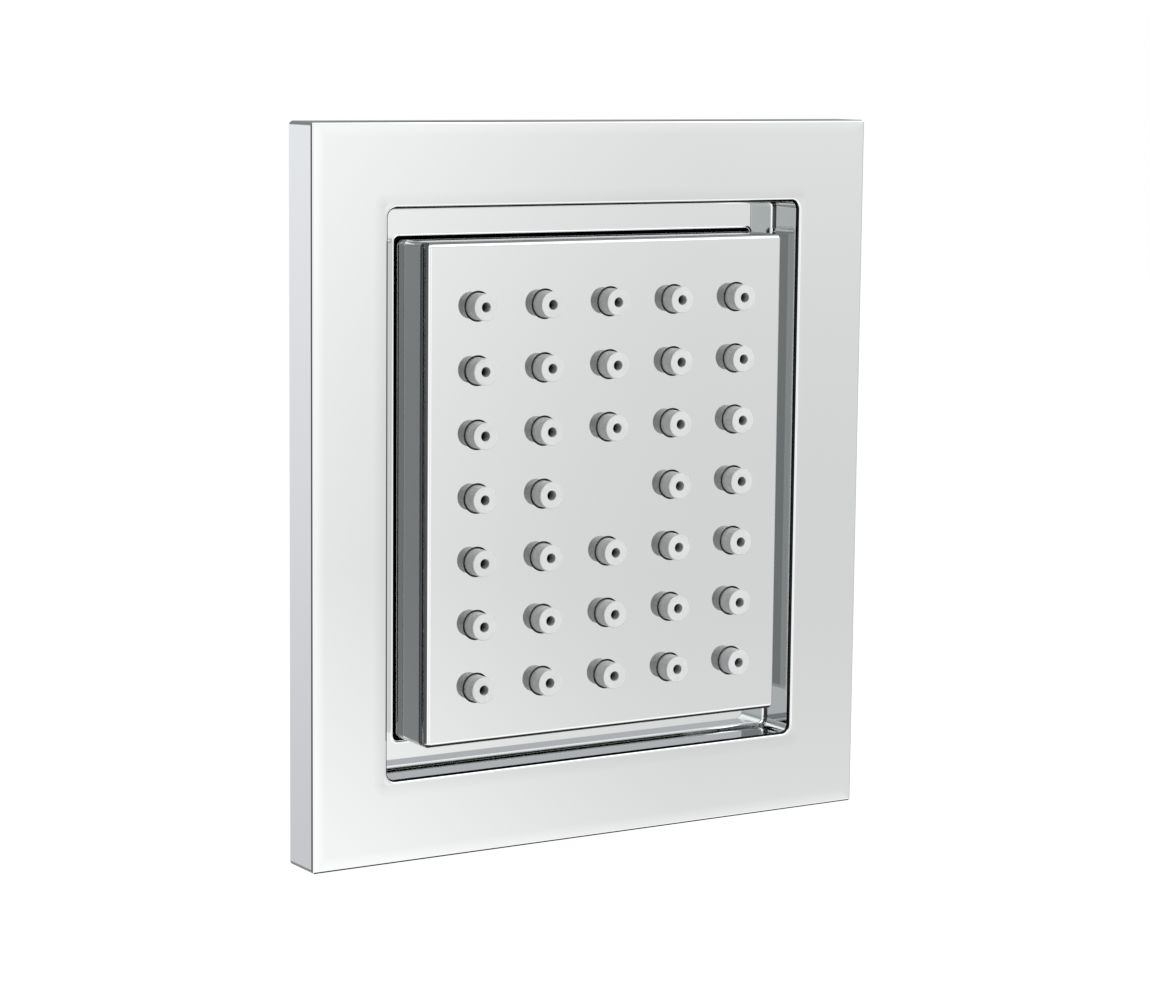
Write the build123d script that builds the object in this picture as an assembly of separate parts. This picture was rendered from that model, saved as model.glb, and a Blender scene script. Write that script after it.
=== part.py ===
from build123d import *
import math
import os

# Shower body jet: a chromed wall plate with a deep rectangular recess, in which a flat spray head
# swivels on a ball that is hidden behind it, and the box, nipple and seals that sit in the wall.
# Millimetres. +X is to the right as seen from the room, +Y runs into the wall and +Z is up.
# The origin is the middle of the plate on the wall's surface, so depths grow into the wall.

# Face plate
plate_width = 125.0
plate_height = 140.0
plate_depth = 9.0
plate_wall = 1.8
plate_front_wall = 2.0
plate_corner_radius = 0.9
plate_edge_radius = 0.5
plate_roll_width = 2.4
plate_roll_drop = 0.02
plate_border = 16.1
recess_floor_wall = 1.5
recess_floor_lead = 0.9
recess_corner_radius = 1.6
recess_rim_radius = 0.8
recess_foot_radius = 0.8
floor_edge_radius = 0.12

# Spray head
head_gap = 6.15
head_proud = 3.35
head_edge_radius = 1.0
head_corner_radius = 1.05
head_wall = 1.8
skirt_reach = 11.5
side_slit = 0.45
end_slit = 0.6

# Nozzles
nozzle_columns = 5
nozzle_rows = 7
nozzle_side_margin = 10.95
nozzle_end_margin = 11.45
grid_drop = 0.65
nozzle_diameter = 5.1
nozzle_length = 3.1
nozzle_tip_chamfer = 0.15
nozzle_slit = 0.375
outlet_diameter = 1.9
outlet_length = 2.2
feed_diameter = 3.2
mat_thickness = 1.5
distributor_thickness = 1.5

# Back cover of the head and its screws
chamber_depth = 3.55
cover_wall = 2.0
cover_rim_wall = 3.2
fit_clearance = 0.2
head_seal_thickness = 1.6
screw_diameter = 2.8
screw_head_diameter = 5.4
screw_head_height = 1.9
screw_drive_width = 1.2
screw_boss_wall = 1.1
screw_tip_wall = 0.7
cover_post_wall = 1.3
drive_depth = 0.9

# Ball joint
ball_diameter = 16.0
ball_clearance = 0.15
seat_thickness = 1.35
seat_width = 8.8
lip_clearance = 0.3
seat_swing = 1.35
ball_seal_thickness = 1.5
ball_seal_angle = 44.0
socket_mouth_lip = 0.75
socket_front_gap = 0.95
socket_front_wall = 0.6
socket_wall = 2.5
socket_length = 6.75
collar_thread_depth = 2.35
collar_flange = 2.0
collar_swing_gap = 2.45
collar_flare = 0.9
collar_slots = 4
collar_slot_width = 3.0
collar_slot_depth = 1.2

# Ball stem and its seal
stem_thread_diameter = 10.0
stem_thread_length = 8.5
stem_thread_relief = 0.25
stem_wall = 2.0
stem_hex_wall = 1.0
stem_hex_length = 4.0
stem_seal_thickness = 1.6
thread_clearance = 0.1

# Inlet nipple
nipple_thread_diameter = 20.96
nipple_flange_width = 5.0
nipple_flange_thickness = 4.0
nipple_wall = 3.0
nipple_throat_step = 0.5
nipple_throat_length = 3.5
nipple_lock_step = 0.8
nipple_lock_over = 0.8
nipple_relief_length = 1.0
nipple_relief_depth = 0.7
nipple_free_thread = 14.5
nipple_end_chamfer = 1.0
washer_thickness = 1.5
washer_width = 4.4
nut_wall = 3.72
nut_thickness = 6.0
nut_corner_angle = 30.0

# Parts inside the nipple
limiter_length = 8.0
limiter_bore_diameter = 4.4
limiter_port_diameter = 1.8
limiter_ports = 6
limiter_seal_thickness = 1.5
limiter_seal_place = 3.0
filter_length = 5.0
filter_rim_wall = 1.1
filter_floor = 1.0
filter_hole_diameter = 1.5
filter_hole_margin = 0.8
filter_rings = 2

# Box in the wall
box_clearance = 0.5
box_wall = 2.0
box_back_wall = 3.0
box_depth = 30.0
box_step_clearance = 1.0
box_swing_room = 4.0
box_rib_width = 1.6
box_rib_height = 1.8
box_rib_length = 17.0
box_rib_places = (-0.25, 0.25)
ear_radius = 4.4
ear_thickness = 2.5
ear_clearance = 0.4
ear_hole_diameter = 4.5
lug_width = 12.0
lug_spacing = 52.0
lug_clearance = 0.4

# Gasket and set screws of the plate
gasket_width = 3.0
gasket_thickness = 1.5
set_screw_diameter = 4.0
set_screw_sink = 1.5
set_screw_key_width = 2.0
set_screw_key_depth = 2.5
set_screw_point = 0.6
plate_boss_width = 8.0
plate_boss_length = 5.5
seat_clearance = 0.1

# Depths, worked out from the sizes above
plate_front = -plate_depth
head_front = plate_front - head_proud
nozzle_tip = head_front - nozzle_length
face_inside = head_front + head_wall
mat_back = face_inside + mat_thickness
distributor_back = mat_back + distributor_thickness
cover_front = distributor_back + chamber_depth
cover_back = cover_front + cover_wall
socket_front = distributor_back + socket_front_gap
ball_seal_depth = socket_front + socket_front_wall + ball_seal_thickness / 2 + seat_clearance
ball_radius = ball_diameter / 2
ball_seal_reach = ball_radius + ball_clearance + ball_seal_thickness / 2
ball_centre = ball_seal_depth + ball_seal_reach * math.cos(math.radians(ball_seal_angle))
socket_back = ball_centre + socket_length
recess_floor = ball_centre - recess_floor_lead - recess_floor_wall / 2
recess_back = recess_floor + recess_floor_wall
head_rear = recess_floor + skirt_reach
box_step_inside = recess_back + box_step_clearance
box_step_outside = box_step_inside + box_wall
box_inside = box_depth - box_back_wall
nipple_front = box_inside - washer_thickness - nipple_flange_thickness
nut_front = box_depth + washer_thickness
nut_back = nut_front + nut_thickness
lock_end = nut_back + nipple_lock_over
relief_end = lock_end + nipple_relief_length
nipple_end = relief_end + nipple_free_thread
stem_hex_front = nipple_front - stem_hex_length
stem_end = nipple_front + stem_thread_length
limiter_front = stem_end + nipple_throat_length

# Widths and heights, worked out from the sizes above
recess_width = plate_width - 2 * plate_border
recess_height = plate_height - 2 * plate_border
head_width = recess_width - 2 * head_gap
head_height = recess_height - 2 * head_gap
column_pitch = (head_width - 2 * nozzle_side_margin) / (nozzle_columns - 1)
row_pitch = (head_height - 2 * nozzle_end_margin) / (nozzle_rows - 1)
tray_width = recess_width + 2 * plate_wall
tray_height = recess_height + 2 * plate_wall
box_inner_width = tray_width + 2 * box_clearance
box_inner_height = tray_height + 2 * box_clearance
box_width = box_inner_width + 2 * box_wall
box_height = box_inner_height + 2 * box_wall
well_inner_width = head_width + 2 * box_swing_room
well_inner_height = head_height + 2 * box_swing_room
well_inner_corner = head_corner_radius + box_swing_room
well_width = well_inner_width + 2 * box_wall
well_height = well_inner_height + 2 * box_wall
well_corner = well_inner_corner + box_wall
lug_face = box_height / 2
tray_corner_radius = recess_corner_radius + plate_wall
hollow_corner_radius = tray_corner_radius + box_clearance
box_corner_radius = hollow_corner_radius + box_wall
ear_inset = plate_wall + seat_clearance + gasket_width + ear_clearance + ear_radius
ear_x = plate_width / 2 - ear_inset
ear_z = plate_height / 2 - ear_inset
seat_radius = ball_radius + ball_clearance + seat_thickness
socket_radius = seat_radius + ball_clearance
collar_radius = socket_radius + collar_thread_depth
socket_outer_radius = collar_radius + socket_wall
ball_seal_radius = ball_seal_reach * math.sin(math.radians(ball_seal_angle))
mouth_radius = ball_seal_radius - ball_seal_thickness / 2 - seat_clearance - socket_mouth_lip
stem_bore_radius = stem_thread_diameter / 2 - stem_wall
stem_neck_radius = stem_thread_diameter / 2 - stem_thread_relief
stem_hex_width = stem_thread_diameter + 2 * stem_hex_wall
stem_seal_seat = stem_thread_diameter / 2 + stem_seal_thickness + 2 * thread_clearance
nipple_radius = nipple_thread_diameter / 2
lock_radius = nipple_radius + nipple_lock_step
nipple_bore_radius = nipple_radius - nipple_wall
nut_width = 2 * lock_radius + 2 * nut_wall
limiter_radius = nipple_bore_radius - fit_clearance
limiter_seal_radius = limiter_radius + fit_clearance / 2 - limiter_seal_thickness / 2
limiter_groove_radius = limiter_seal_radius - limiter_seal_thickness / 2
screw_radius = screw_diameter / 2
boss_radius = screw_radius + screw_boss_wall
post_radius = screw_radius + cover_post_wall
nozzle_hole_radius = nozzle_diameter / 2 + nozzle_slit


def slab(outline, back, front):
    """Extrudes an outline drawn as seen from the room, from the deeper face to the nearer one."""
    return extrude(Plane.XZ.offset(-back) * outline, back - front)


def rod(radius, back, front, x=0.0, z=0.0):
    """Round bar along the jet's axis."""
    return slab(Pos(x, z) * Circle(radius), back, front)


def ring(outer_radius, inner_radius, back, front):
    """Round washer about the jet's axis."""
    return slab(Circle(outer_radius) - Circle(inner_radius), back, front)


def turned(*corners):
    """Turns a half section of (radius, depth) corners about the jet's axis."""
    return revolve(make_face(Polyline(*corners, close=True)), Axis.Y)


def seal_ring(radius, depth, thickness):
    """Round seal of round section about the jet's axis."""
    return revolve(Pos(radius, depth) * Circle(thickness / 2), Axis.Y)


def ball(radius):
    """Ball about the centre that the head swivels on, turned about the jet's axis."""
    return Pos(0, ball_centre, 0) * Rot(90, 0, 0) * Sphere(radius)


def hexagon(width):
    """Six-sided outline that is given by its width across flats."""
    return RegularPolygon(width / math.sqrt(3), 6)


def inset(clearance, wall=head_wall):
    """Outline that fits inside the head's shell with the clearance all round."""
    gap = wall + clearance
    radius = head_corner_radius + clearance
    return RectangleRounded(head_width - 2 * gap, head_height - 2 * gap, radius)


def nozzle_places():
    """Middle of every nozzle: a grid that leaves out its own centre."""
    places = []
    for column in range(nozzle_columns):
        for row in range(nozzle_rows):
            across = column - (nozzle_columns - 1) / 2
            up = row - (nozzle_rows - 1) / 2
            if (across, up) != (0, 0):
                places.append((across * column_pitch, up * row_pitch - grid_drop))
    return places


def screw_places():
    """Middle of every head screw, half way between nozzles and clear of the ball socket."""
    across = (nozzle_columns - 2) / 2 * column_pitch
    outer = (nozzle_rows - 2) / 2 * row_pitch
    inner = row_pitch / 2
    return [(x, z - grid_drop) for x in (-across, across) for z in (-outer, -inner, inner, outer)]


def rolled_front(half, plane, reach):
    """Prism whose front is flat in the middle, falls away very gently towards both ends and turns into
    the sides with a small rounding that is tangent to both; half is half its width, and plane gives
    the way it faces."""
    roll = (plate_roll_width ** 2 + plate_roll_drop ** 2) / (2 * plate_roll_drop)
    flat = half - plate_roll_width
    turn = math.asin((plate_roll_width - plate_edge_radius) / (roll - plate_edge_radius))
    edge_depth = plate_front + roll - (roll - plate_edge_radius) * math.cos(turn)

    def on_roll(angle):
        return flat + roll * math.sin(angle), plate_front + roll * (1 - math.cos(angle))

    middle = (turn + math.pi / 2) / 2
    on_edge = (
        half - plate_edge_radius * (1 - math.sin(middle)),
        edge_depth - plate_edge_radius * math.cos(middle),
    )
    right = [
        Line((half, plate_depth), (half, edge_depth)),
        ThreePointArc((half, edge_depth), on_edge, on_roll(turn)),
        ThreePointArc(on_roll(turn), on_roll(turn / 2), on_roll(0)),
    ]
    left = [mirror(piece, Plane.YZ) for piece in right]
    front = Line((flat, plate_front), (-flat, plate_front))
    back = Line((half, plate_depth), (-half, plate_depth))
    return extrude(plane * make_face(Curve() + right + left + [front, back]), reach, both=True)


def make_face_plate():
    """Cast plate: crowned front, hollow back, recess with rounded rim and foot, and the slit round
    the head."""
    upright = Plane((0, 0, 0), x_dir=(0, 0, 1), z_dir=(-1, 0, 0))
    plate = slab(RectangleRounded(plate_width, plate_height, plate_corner_radius), 0, plate_front)
    plate &= rolled_front(plate_width / 2, Plane.XY, plate_height)
    plate &= rolled_front(plate_height / 2, upright, plate_width)
    inside = Rectangle(plate_width - 2 * plate_wall, plate_height - 2 * plate_wall)
    plate -= slab(inside, 0, plate_front + plate_front_wall)
    tray = RectangleRounded(tray_width, tray_height, tray_corner_radius)
    plate += slab(tray, recess_back, plate_front + plate_front_wall / 2)
    opening = RectangleRounded(recess_width, recess_height, recess_corner_radius)
    recess = slab(opening, recess_floor, plate_front)
    plate -= fillet(recess.edges().group_by(Axis.Y)[-1], recess_foot_radius)
    slit = RectangleRounded(head_width + 2 * side_slit, head_height + 2 * end_slit, head_corner_radius)
    plate -= slab(slit, recess_back, recess_floor)
    rim = [edge for edge in plate.edges().group_by(Axis.Y)[0] if is_within(edge, recess_width, recess_height)]
    plate = fillet(rim, recess_rim_radius)
    lip = [edge for edge in plate.edges() if is_lip(edge)]
    plate = fillet(lip, floor_edge_radius)
    side = -plate_height / 2 + plate_wall / 2
    for x in (-lug_spacing / 2, lug_spacing / 2):
        plate += plate_boss(x, side, side + plate_wall / 2 + plate_boss_length)
        plate += plate_boss(x, lug_face + seat_clearance, -side)
        plate -= set_screw_hole(x)
    return plate


def is_within(edge, width, height):
    """True for an edge whose middle lies inside a rectangle of this size about the jet's axis."""
    middle = edge.center()
    return abs(middle.X) < width / 2 + 0.01 and abs(middle.Z) < height / 2 + 0.01


def is_lip(edge):
    """True for the edges where the recess floor turns into the slit round the head."""
    width = head_width + 2 * side_slit
    height = head_height + 2 * end_slit
    return abs(edge.center().Y - recess_floor) < 0.01 and is_within(edge, width, height)


def plate_boss(x, low, high):
    """Block behind the plate's border, from its front wall to just short of the gasket."""
    outline = Pos(x, (low + high) / 2) * Rectangle(plate_boss_width, high - low)
    return slab(outline, -gasket_thickness - seat_clearance, plate_front + plate_front_wall / 2)


def set_screw_depth():
    """Depth of the set screws' axes: the middle of the bosses behind the front wall."""
    return (plate_front + plate_front_wall - gasket_thickness) / 2


def set_screw_hole(x):
    """Upright hole for one set screw, through the plate's lower side and its boss."""
    radius = set_screw_diameter / 2 + thread_clearance / 2
    length = plate_height / 2 - lug_face
    return Pos(x, set_screw_depth(), -plate_height / 2 + length / 2) * Cylinder(radius, length)


def make_set_screws():
    """Two grub screws with a six-sided key hole below and a blunt point that presses on the box's lugs."""
    bottom = -plate_height / 2 + set_screw_sink
    length = -lug_face - seat_clearance - bottom
    screw = Cylinder(set_screw_diameter / 2, length)
    screw = chamfer(screw.edges().group_by(Axis.Z)[-1], set_screw_point)
    key = extrude(Pos(0, 0, -length / 2) * hexagon(set_screw_key_width), set_screw_key_depth)
    screw -= key
    middle = bottom + length / 2
    return [Pos(x, set_screw_depth(), middle) * screw for x in (-lug_spacing / 2, lug_spacing / 2)]


def make_plate_gasket():
    """Flat seal just inside the plate's sides, flush with the wall's surface."""
    width = plate_width - 2 * plate_wall - 2 * seat_clearance
    height = plate_height - 2 * plate_wall - 2 * seat_clearance
    outline = Rectangle(width, height) - Rectangle(width - 2 * gasket_width, height - 2 * gasket_width)
    return slab(outline, 0, -gasket_thickness)


def make_wall_box():
    """Moulded box in the wall: a rim round the plate's tray and a well behind it that leaves the head room to
    swing, with corner ears on the wall's surface, ribs outside and lugs that carry the plate."""
    outline = RectangleRounded(box_width, box_height, box_corner_radius)
    hollow = RectangleRounded(box_inner_width, box_inner_height, hollow_corner_radius)
    box = slab(RectangleRounded(well_width, well_height, well_corner), box_depth, 0)
    box = fillet(box.edges().group_by(Axis.Y)[-1], box_wall)
    for share in box_rib_places:
        across = Pos(0, share * well_height) * Rectangle(well_width + 2 * box_rib_height, box_rib_width)
        upright = Pos(share * well_width, 0) * Rectangle(box_rib_width, well_height + 2 * box_rib_height)
        box += slab(across + upright, box_step_outside + box_rib_length, 0)
    box += slab(outline, box_step_outside, 0)
    for x in (-1, 1):
        for z in (-1, 1):
            place = Pos(x * ear_x, z * ear_z)
            ear = hull_to_corner(place, x, z)
            box += slab(ear, 0, -ear_thickness)
            box += slab(ear & outline, box_wall, -ear_thickness)
            box -= slab(place * Circle(ear_hole_diameter / 2), 0, -ear_thickness)
    lug_front = plate_front + plate_front_wall + lug_clearance
    for x in (-lug_spacing / 2, lug_spacing / 2):
        for z in (-1, 1):
            lug = Pos(x, z * (lug_face - box_wall / 2)) * Rectangle(lug_width, box_wall)
            box += slab(lug, box_wall, lug_front)
    box -= slab(hollow, box_step_inside, -ear_thickness)
    box -= slab(RectangleRounded(well_inner_width, well_inner_height, well_inner_corner), box_inside, 0)
    box -= rod(lock_radius + seat_clearance, box_depth, box_inside)
    return box


def hull_to_corner(place, x, z):
    """Outline of one ear: a disc at its screw, joined to the box's rounded corner."""
    corner = Pos(x * (box_width / 2 - box_corner_radius), z * (box_height / 2 - box_corner_radius))
    return make_hull((place * Circle(ear_radius)).edges() + (corner * Circle(box_corner_radius)).edges())


def make_inlet_nipple():
    """Turned nipple: flange, thread for the lock nut, relief and inlet thread, with a socket for the
    ball stem in front and a wide bore behind."""
    shoulder = nipple_front + nipple_flange_thickness
    nipple = rod(lock_radius + nipple_flange_width, shoulder, nipple_front)
    nipple += rod(lock_radius, lock_end, shoulder)
    nipple += rod(nipple_radius - nipple_relief_depth, relief_end, lock_end)
    nipple += rod(nipple_radius, nipple_end, relief_end)
    nipple = chamfer(nipple.edges().group_by(Axis.Y)[-1], nipple_end_chamfer)
    nipple -= rod(stem_thread_diameter / 2 + thread_clearance, stem_end + seat_clearance, nipple_front)
    nipple -= rod(stem_seal_seat, nipple_front + stem_seal_thickness, nipple_front)
    nipple -= rod(stem_bore_radius + nipple_throat_step, limiter_front, stem_end)
    nipple -= rod(nipple_bore_radius, nipple_end, limiter_front)
    return nipple


def make_stem_oring():
    """Seal round the stem's thread, in its seat under the stem's hexagon."""
    radius = stem_thread_diameter / 2 + thread_clearance + stem_seal_thickness / 2
    return seal_ring(radius, nipple_front + stem_seal_thickness / 2, stem_seal_thickness)


def make_ball_stem():
    """Hollow ball on a neck, with a hexagon for the spanner and a thread that screws into the nipple."""
    stem = ball(ball_radius)
    stem += rod(stem_neck_radius, nipple_front, ball_centre)
    stem += rod(stem_thread_diameter / 2, stem_end, stem_hex_front)
    stem += slab(hexagon(stem_hex_width), nipple_front, stem_hex_front)
    stem -= rod(stem_bore_radius, stem_end, ball_centre - ball_radius)
    return stem


def make_washer(back):
    """Flat washer on the nipple's thread."""
    inner = lock_radius + seat_clearance
    return ring(inner + washer_width, inner, back, back - washer_thickness)


def make_lock_nut():
    """Six-sided nut with turned-off corners on both faces."""
    nut = slab(hexagon(nut_width), nut_back, nut_front)
    flat = nut_width / 2
    corner = 2 * flat / math.sqrt(3)
    fall = (corner - flat) * math.tan(math.radians(nut_corner_angle))
    nut &= turned(
        (0, nut_front),
        (flat, nut_front),
        (corner, nut_front + fall),
        (corner, nut_back - fall),
        (flat, nut_back),
        (0, nut_back),
    )
    return nut - rod(lock_radius + thread_clearance, nut_back, nut_front)


def make_flow_limiter():
    """Round insert with a middle bore, a ring of ports and a groove for its seal."""
    back = limiter_front + limiter_length
    limiter = rod(limiter_radius, back, limiter_front)
    limiter -= rod(limiter_bore_diameter / 2, back, limiter_front)
    for place in PolarLocations((limiter_bore_diameter / 2 + limiter_groove_radius) / 2, limiter_ports):
        limiter -= slab(place * Circle(limiter_port_diameter / 2), back, limiter_front)
    middle = limiter_front + limiter_seal_place
    half_width = limiter_seal_thickness / 2 + seat_clearance
    limiter -= ring(nipple_bore_radius, limiter_groove_radius, middle + half_width, middle - half_width)
    return limiter


def make_limiter_oring():
    """Seal in the limiter's groove."""
    return seal_ring(limiter_seal_radius, limiter_front + limiter_seal_place, limiter_seal_thickness)


def make_inlet_filter():
    """Cup strainer at the mouth of the nipple, its floor pierced in rings."""
    radius = nipple_bore_radius - fit_clearance
    front = nipple_end - filter_length
    strainer = rod(radius, nipple_end, front)
    strainer -= rod(radius - filter_rim_wall, nipple_end, front + filter_floor)
    pitch = (radius - filter_rim_wall - filter_hole_margin - filter_hole_diameter / 2) / filter_rings
    holes = [(0.0, 0.0)]
    for step in range(1, filter_rings + 1):
        for hole in range(6 * step):
            angle = 2 * math.pi * hole / (6 * step)
            holes.append((step * pitch * math.cos(angle), step * pitch * math.sin(angle)))
    for x, z in holes:
        strainer -= rod(filter_hole_diameter / 2, front + filter_floor, front, x, z)
    return strainer


def make_seat_ring():
    """Friction ring round the ball's widest part: a band of a hollow ball."""
    half = seat_width / 2
    band = rod(socket_radius, ball_centre + half, ball_centre - half)
    return (band & ball(seat_radius)) - ball(ball_radius + ball_clearance)


def seat_step():
    """Depth of the step in front of the seat ring, which leaves it room to swing."""
    return ball_centre - seat_width / 2 - seat_swing


def make_ball_seal():
    """Seal between the front of the ball and the socket."""
    return seal_ring(ball_seal_radius, ball_seal_depth, ball_seal_thickness)


def make_head_back():
    """Moulded back cover: rim with a seal groove, posts for the screws and the socket for the ball."""
    cover = slab(inset(fit_clearance), cover_back, distributor_back)
    cover -= slab(inset(cover_rim_wall), cover_front, distributor_back)
    groove_middle = (cover_front + distributor_back) / 2
    half_width = head_seal_thickness / 2 + seat_clearance
    groove = inset(0) - inset(head_seal_thickness)
    cover -= slab(groove, groove_middle + half_width, groove_middle - half_width)
    for x, z in screw_places():
        cover += rod(post_radius, cover_front, distributor_back, x, z)
        cover -= rod(screw_radius + thread_clearance, cover_back, distributor_back, x, z)
    cover += rod(socket_outer_radius, socket_back, socket_front)
    cover -= ball(ball_radius + lip_clearance)
    cover -= ball(socket_radius) & rod(socket_radius, socket_back, seat_step())
    cover -= rod(collar_radius, socket_back, ball_centre)
    cover -= rod(mouth_radius, ball_centre, socket_front)
    cover -= seal_ring(ball_seal_radius, ball_seal_depth, ball_seal_thickness + 2 * seat_clearance)
    return cover


def make_retaining_collar():
    """Ring that screws into the socket behind the ball, with slots for a pin spanner in its flange."""
    flange_back = socket_back + collar_flange
    mouth = stem_neck_radius + collar_swing_gap
    collar = rod(collar_radius - thread_clearance, socket_back, ball_centre + seat_clearance)
    collar += rod(socket_outer_radius, flange_back, socket_back)
    collar -= ball(socket_radius)
    collar -= turned(
        (0, ball_centre),
        (mouth, ball_centre),
        (mouth, socket_back),
        (mouth + collar_flare, flange_back),
        (0, flange_back),
    )
    slot = Pos(socket_outer_radius, 0) * Rectangle(collar_slot_depth * 2, collar_slot_width)
    for turn in range(collar_slots):
        collar -= slab(Rot(0, 0, turn * 360 / collar_slots) * slot, flange_back, socket_back)
    return collar


def make_head_seal():
    """Seal in the groove round the back cover's rim."""
    middle = (cover_front + distributor_back) / 2
    half = head_seal_thickness / 2
    outline = inset(seat_clearance) - inset(head_seal_thickness - seat_clearance)
    return slab(outline, middle + half, middle - half)


def make_spray_face():
    """Shell of the head: front with the nozzle holes, sides that reach behind the recess floor and
    bosses for the screws."""
    shell = slab(RectangleRounded(head_width, head_height, head_corner_radius), head_rear, head_front)
    shell = fillet(shell.edges().group_by(Axis.Y)[0], head_edge_radius)
    shell -= slab(inset(0), head_rear, face_inside)
    pilot_end = head_front + screw_tip_wall
    for x, z in screw_places():
        shell += rod(boss_radius, distributor_back - seat_clearance, face_inside, x, z)
        shell -= rod(screw_radius + thread_clearance, distributor_back, pilot_end, x, z)
    for x, z in nozzle_places():
        shell -= rod(nozzle_hole_radius, face_inside, head_front, x, z)
    return shell


def make_nozzle_mat():
    """Silicone mat behind the front, with one stepped-bore nozzle for every hole."""
    mat = slab(inset(fit_clearance), mat_back, face_inside)
    radius = nozzle_diameter / 2
    nozzle = rod(radius, mat_back, nozzle_tip)
    nozzle = chamfer(nozzle.edges().group_by(Axis.Y)[0], nozzle_tip_chamfer)
    throat = nozzle_tip + outlet_length
    bore = rod(outlet_diameter / 2, throat, nozzle_tip) + rod(feed_diameter / 2, mat_back, throat)
    for x, z in nozzle_places():
        mat += Pos(x, 0, z) * nozzle
    for x, z in nozzle_places():
        mat -= Pos(x, 0, z) * bore
    for x, z in screw_places():
        mat -= rod(boss_radius + fit_clearance, mat_back, face_inside, x, z)
    return mat


def make_distributor_plate():
    """Perforated plate that backs the mat and feeds every nozzle."""
    plate = slab(inset(fit_clearance), distributor_back, mat_back)
    for x, z in nozzle_places():
        plate -= rod(feed_diameter / 2, distributor_back, mat_back, x, z)
    for x, z in screw_places():
        plate -= rod(boss_radius + fit_clearance, distributor_back, mat_back, x, z)
    return plate


def make_head_screws():
    """Pan-head screws through the back cover into the shell's bosses, with crossed drive slots."""
    end = head_front + screw_tip_wall + seat_clearance
    screws = []
    for x, z in screw_places():
        screw = rod(screw_radius, cover_back, end, x, z)
        head = rod(screw_head_diameter / 2, cover_back + screw_head_height, cover_back, x, z)
        head = chamfer(head.edges().group_by(Axis.Y)[-1], screw_head_height / 3)
        reach = screw_head_diameter / 2
        cross = Rectangle(reach, screw_drive_width) + Rectangle(screw_drive_width, reach)
        top = cover_back + screw_head_height
        screws.append(screw + head - slab(Pos(x, z) * cross, top, top - drive_depth))
    return screws


nodes = {
    "face_plate": make_face_plate(),
    "plate_gasket": make_plate_gasket(),
    "set_screws": make_set_screws(),
    "wall_box": make_wall_box(),
    "inlet_nipple": make_inlet_nipple(),
    "nipple_washer": make_washer(box_inside),
    "lock_washer": make_washer(nut_front),
    "lock_nut": make_lock_nut(),
    "flow_limiter": make_flow_limiter(),
    "limiter_oring": make_limiter_oring(),
    "inlet_filter": make_inlet_filter(),
    "ball_stem": make_ball_stem(),
    "stem_oring": make_stem_oring(),
    "seat_ring": make_seat_ring(),
    "head_back": make_head_back(),
    "retaining_collar": make_retaining_collar(),
    "ball_seal": make_ball_seal(),
    "head_seal": make_head_seal(),
    "head_screws": make_head_screws(),
    "spray_face": make_spray_face(),
    "nozzle_mat": make_nozzle_mat(),
    "distributor_plate": make_distributor_plate(),
}

os.makedirs("parts", exist_ok=True)
for name, shape in nodes.items():
    solid = Compound(children=shape) if isinstance(shape, list) else shape
    export_step(solid, f"parts/{name}.step")
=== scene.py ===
"""Dresses the shower body jet: chrome plate and head, silicone nozzles, and the fittings in the wall."""

import math

import bmesh
import bpy
import numpy as np
from mathutils import Matrix, Vector


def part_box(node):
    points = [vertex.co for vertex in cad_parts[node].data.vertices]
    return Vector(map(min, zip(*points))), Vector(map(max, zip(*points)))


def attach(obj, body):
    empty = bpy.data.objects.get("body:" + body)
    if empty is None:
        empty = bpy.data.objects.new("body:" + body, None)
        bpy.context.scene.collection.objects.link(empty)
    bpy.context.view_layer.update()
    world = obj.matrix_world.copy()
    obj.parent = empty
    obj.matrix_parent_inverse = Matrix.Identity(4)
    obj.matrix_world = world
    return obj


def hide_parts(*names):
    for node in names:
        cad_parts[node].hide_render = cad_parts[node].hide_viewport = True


bl_info = {
    "name": "Shower body jet",
    "version": (1, 0, 0),
    "blender": (4, 5, 0),
    "location": "View3D > Sidebar > Body jet",
    "description": "Finishes, fine detail and studio for a recessed shower body jet",
    "category": "Object",
}

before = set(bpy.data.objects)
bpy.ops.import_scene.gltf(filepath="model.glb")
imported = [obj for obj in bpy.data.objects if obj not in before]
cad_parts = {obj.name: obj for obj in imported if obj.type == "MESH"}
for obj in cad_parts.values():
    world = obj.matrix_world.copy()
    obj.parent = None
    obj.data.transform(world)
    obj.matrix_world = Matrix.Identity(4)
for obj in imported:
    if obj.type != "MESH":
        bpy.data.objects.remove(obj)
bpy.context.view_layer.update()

MM = 0.001
DEGREES = 180.0 / math.pi
WELD = 2.0e-6
SHARP_ANGLE = 32.0

# Camera of the photograph, in pixels, degrees and metres
PICTURE_WIDTH = 1150
FOCAL_PIXELS = 3261.28
SENSOR_WIDTH = 36.0
CAMERA_AZIMUTH = -31.9637
CAMERA_ELEVATION = 7.7337
CAMERA_ROLL = 0.5650
CAMERA_EYE = (-0.336149, -0.539026, 0.082944)
CLIP_START = 0.01

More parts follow.
